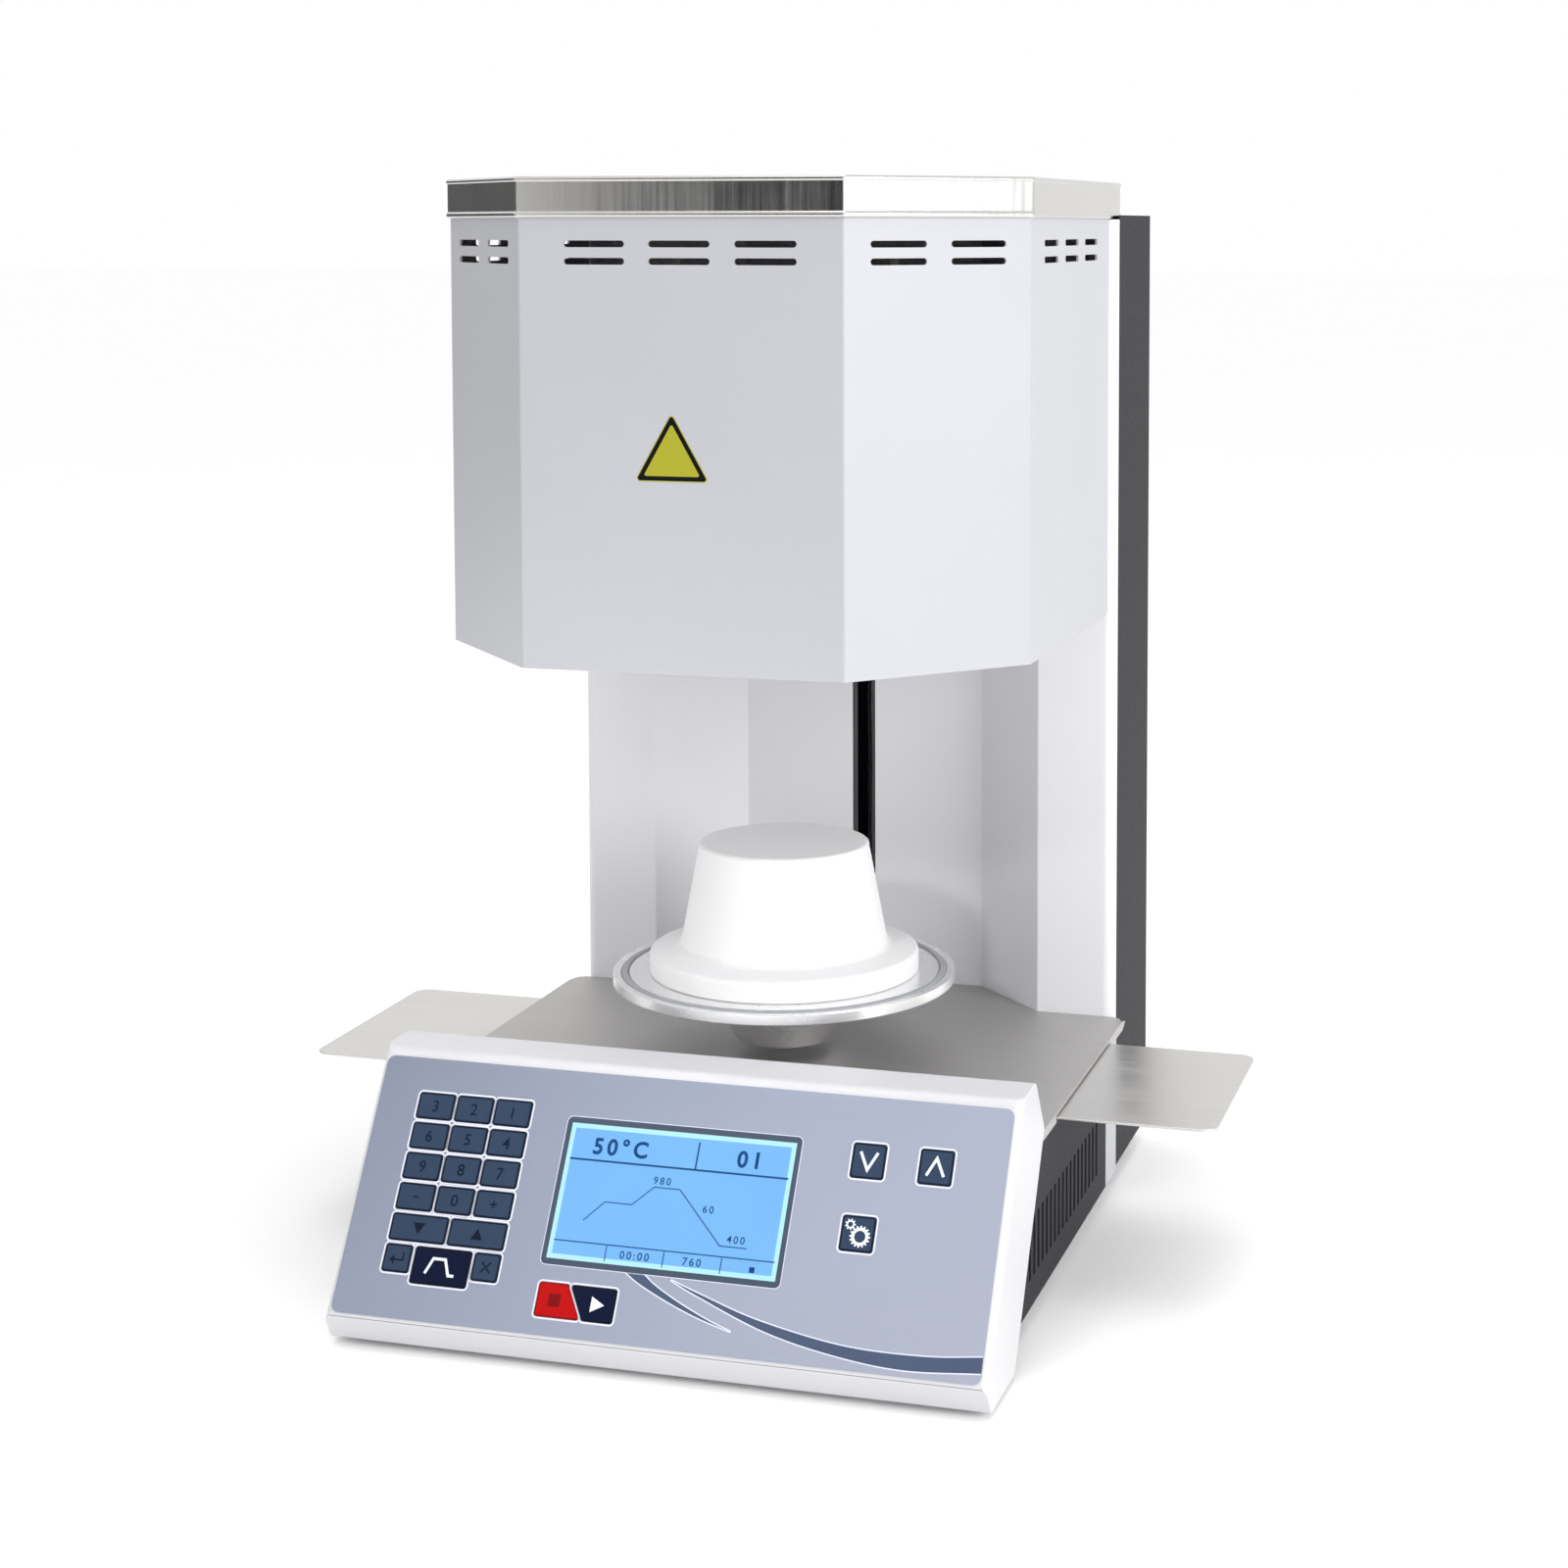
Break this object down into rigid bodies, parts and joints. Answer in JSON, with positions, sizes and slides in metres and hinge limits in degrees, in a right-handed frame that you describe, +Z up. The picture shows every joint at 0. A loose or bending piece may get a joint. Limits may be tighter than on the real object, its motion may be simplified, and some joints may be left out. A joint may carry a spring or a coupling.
{
  "type": "bench firing kiln",
  "caption": "Bench vacuum kiln: a motor-driven table lifts a refractory pedestal into a round muffle head; sloped keypad console, sliding cooling trays.",
  "frame": {"origin": "on the floor under the firing table's axis, which is also the centre of the footprint", "axes": "+X to the right seen from the front, +Y to the rear, +Z up along the table's lift"},
  "size_m": [0.484, 0.4108, 0.5585],
  "materials": {
    "white_enamel": "satin",
    "dark_enamel": "satin",
    "stainless": "brushed",
    "zinc_steel": "satin",
    "ground_steel": "polished",
    "turned_aluminium": "satin",
    "nickel_brass": "satin",
    "nut_brass": "satin",
    "refractory": "matte",
    "membrane_film": "satin",
    "display_glass": "gloss",
    "slate_key": "satin",
    "navy_key": "satin",
    "red_key": "satin",
    "circuit_board": "matte",
    "black_plastic": "matte",
    "red_plastic": "gloss",
    "rubber_feet": "matte",
    "black_rubber": "matte",
    "grey_rubber": "matte"
  },
  "bodies": {
    "frame": {"control_housing": "white_enamel", "control_back_cover": "white_enamel", "membrane_overlay": "membrane_film", "display_module": "display_glass", "power_board": "circuit_board", "base_chassis": "white_enamel", "base_side_panels": "dark_enamel", "deck_plate": "stainless", "tray_guides": "zinc_steel", "feet": "rubber_feet", "column_front_panel": "white_enamel", "rear_shell": "dark_enamel", "slot_seals": "black_rubber", "column_frame": "zinc_steel", "guide_rods": "ground_steel", "gear_motor": "zinc_steel", "head_housing": "white_enamel", "head_top_cap": "stainless", "head_bottom_plate": "white_enamel", "vacuum_chamber": "zinc_steel", "chamber_insulation": "refractory", "heating_muffle": "refractory", "thermocouple": "refractory", "connector_panel": "dark_enamel", "inlet_module": "black_plastic", "vacuum_port": "nickel_brass", "panel_screws": "zinc_steel"},
    "lift_table": {"lead_nut": "nut_brass", "lift_carriage": "turned_aluminium", "lift_arm": "turned_aluminium", "table_hub": "turned_aluminium", "table_plate": "turned_aluminium", "seal_ring": "grey_rubber", "firing_pedestal": "refractory"},
    "lead_screw": {"lead_screw": "ground_steel"},
    "tray_left": {"tray_left": "stainless"},
    "tray_right": {"tray_right": "stainless"},
    "power_rocker": {"power_rocker": "red_plastic"},
    "key_0": {"key_0": "slate_key"},
    "key_1": {"key_1": "slate_key"},
    "key_2": {"key_2": "slate_key"},
    "key_3": {"key_3": "slate_key"},
    "key_4": {"key_4": "slate_key"},
    "key_5": {"key_5": "slate_key"},
    "key_6": {"key_6": "slate_key"},
    "key_7": {"key_7": "slate_key"},
    "key_8": {"key_8": "slate_key"},
    "key_9": {"key_9": "slate_key"},
    "key_plus": {"key_plus": "slate_key"},
    "key_minus": {"key_minus": "slate_key"},
    "key_up": {"key_up": "slate_key"},
    "key_down": {"key_down": "slate_key"},
    "key_enter": {"key_enter": "slate_key"},
    "key_program": {"key_program": "navy_key"},
    "key_escape": {"key_escape": "slate_key"},
    "key_stop": {"key_stop": "red_key"},
    "key_start": {"key_start": "navy_key"},
    "key_table_down": {"key_table_down": "slate_key"},
    "key_table_up": {"key_table_up": "slate_key"},
    "key_settings": {"key_settings": "slate_key"}
  },
  "joints": [
    {"name": "table_lift", "type": "slide", "parent": "frame", "child": "lift_table", "axis": [0, 0, 1], "range_m": [0, 0.1806]},
    {"name": "lead_screw_spin", "type": "hinge", "parent": "frame", "child": "lead_screw", "pos_m": [0, 0.166, 0.2], "axis": [0, 0, 1], "continuous": true},
    {"name": "tray_left_slide", "type": "slide", "parent": "frame", "child": "tray_left", "axis": [-1, 0, 0], "range_m": [-0.079, 0]},
    {"name": "tray_right_slide", "type": "slide", "parent": "frame", "child": "tray_right", "axis": [1, 0, 0], "range_m": [-0.079, 0]},
    {"name": "power_rocker_tilt", "type": "hinge", "parent": "frame", "child": "power_rocker", "pos_m": [-0.078, 0.1855, 0.076], "axis": [-1, 0, 0], "range_deg": [0, 16]},
    {"name": "key_0_press", "type": "slide", "parent": "frame", "child": "key_0", "axis": [0, 0.8499, -0.527], "range_m": [0, 0.0004], "stiffness_N_per_m": 1500, "springref_m": -0.0003},
    {"name": "key_1_press", "type": "slide", "parent": "frame", "child": "key_1", "axis": [0, 0.8499, -0.527], "range_m": [0, 0.0004], "stiffness_N_per_m": 1500, "springref_m": -0.0003},
    {"name": "key_2_press", "type": "slide", "parent": "frame", "child": "key_2", "axis": [0, 0.8499, -0.527], "range_m": [0, 0.0004], "stiffness_N_per_m": 1500, "springref_m": -0.0003},
    {"name": "key_3_press", "type": "slide", "parent": "frame", "child": "key_3", "axis": [0, 0.8499, -0.527], "range_m": [0, 0.0004], "stiffness_N_per_m": 1500, "springref_m": -0.0003},
    {"name": "key_4_press", "type": "slide", "parent": "frame", "child": "key_4", "axis": [0, 0.8499, -0.527], "range_m": [0, 0.0004], "stiffness_N_per_m": 1500, "springref_m": -0.0003},
    {"name": "key_5_press", "type": "slide", "parent": "frame", "child": "key_5", "axis": [0, 0.8499, -0.527], "range_m": [0, 0.0004], "stiffness_N_per_m": 1500, "springref_m": -0.0003},
    {"name": "key_6_press", "type": "slide", "parent": "frame", "child": "key_6", "axis": [0, 0.8499, -0.527], "range_m": [0, 0.0004], "stiffness_N_per_m": 1500, "springref_m": -0.0003},
    {"name": "key_7_press", "type": "slide", "parent": "frame", "child": "key_7", "axis": [0, 0.8499, -0.527], "range_m": [0, 0.0004], "stiffness_N_per_m": 1500, "springref_m": -0.0003},
    {"name": "key_8_press", "type": "slide", "parent": "frame", "child": "key_8", "axis": [0, 0.8499, -0.527], "range_m": [0, 0.0004], "stiffness_N_per_m": 1500, "springref_m": -0.0003},
    {"name": "key_9_press", "type": "slide", "parent": "frame", "child": "key_9", "axis": [0, 0.8499, -0.527], "range_m": [0, 0.0004], "stiffness_N_per_m": 1500, "springref_m": -0.0003},
    {"name": "key_plus_press", "type": "slide", "parent": "frame", "child": "key_plus", "axis": [0, 0.8499, -0.527], "range_m": [0, 0.0004], "stiffness_N_per_m": 1500, "springref_m": -0.0003},
    {"name": "key_minus_press", "type": "slide", "parent": "frame", "child": "key_minus", "axis": [0, 0.8499, -0.527], "range_m": [0, 0.0004], "stiffness_N_per_m": 1500, "springref_m": -0.0003},
    {"name": "key_up_press", "type": "slide", "parent": "frame", "child": "key_up", "axis": [0, 0.8499, -0.527], "range_m": [0, 0.0004], "stiffness_N_per_m": 1500, "springref_m": -0.0003},
    {"name": "key_down_press", "type": "slide", "parent": "frame", "child": "key_down", "axis": [0, 0.8499, -0.527], "range_m": [0, 0.0004], "stiffness_N_per_m": 1500, "springref_m": -0.0003},
    {"name": "key_enter_press", "type": "slide", "parent": "frame", "child": "key_enter", "axis": [0, 0.8499, -0.527], "range_m": [0, 0.0004], "stiffness_N_per_m": 1500, "springref_m": -0.0003},
    {"name": "key_program_press", "type": "slide", "parent": "frame", "child": "key_program", "axis": [0, 0.8499, -0.527], "range_m": [0, 0.0004], "stiffness_N_per_m": 1500, "springref_m": -0.0003},
    {"name": "key_escape_press", "type": "slide", "parent": "frame", "child": "key_escape", "axis": [0, 0.8499, -0.527], "range_m": [0, 0.0004], "stiffness_N_per_m": 1500, "springref_m": -0.0003},
    {"name": "key_stop_press", "type": "slide", "parent": "frame", "child": "key_stop", "axis": [0, 0.8499, -0.527], "range_m": [0, 0.0004], "stiffness_N_per_m": 1500, "springref_m": -0.0003},
    {"name": "key_start_press", "type": "slide", "parent": "frame", "child": "key_start", "axis": [0, 0.8499, -0.527], "range_m": [0, 0.0004], "stiffness_N_per_m": 1500, "springref_m": -0.0003},
    {"name": "key_table_down_press", "type": "slide", "parent": "frame", "child": "key_table_down", "axis": [0, 0.8499, -0.527], "range_m": [0, 0.0004], "stiffness_N_per_m": 1500, "springref_m": -0.0003},
    {"name": "key_table_up_press", "type": "slide", "parent": "frame", "child": "key_table_up", "axis": [0, 0.8499, -0.527], "range_m": [0, 0.0004], "stiffness_N_per_m": 1500, "springref_m": -0.0003},
    {"name": "key_settings_press", "type": "slide", "parent": "frame", "child": "key_settings", "axis": [0, 0.8499, -0.527], "range_m": [0, 0.0004], "stiffness_N_per_m": 1500, "springref_m": -0.0003}
  ],
  "couplings": [
    {"joint": "lead_screw_spin", "follows": "table_lift", "rad_per_m": 785.4}
  ]
}
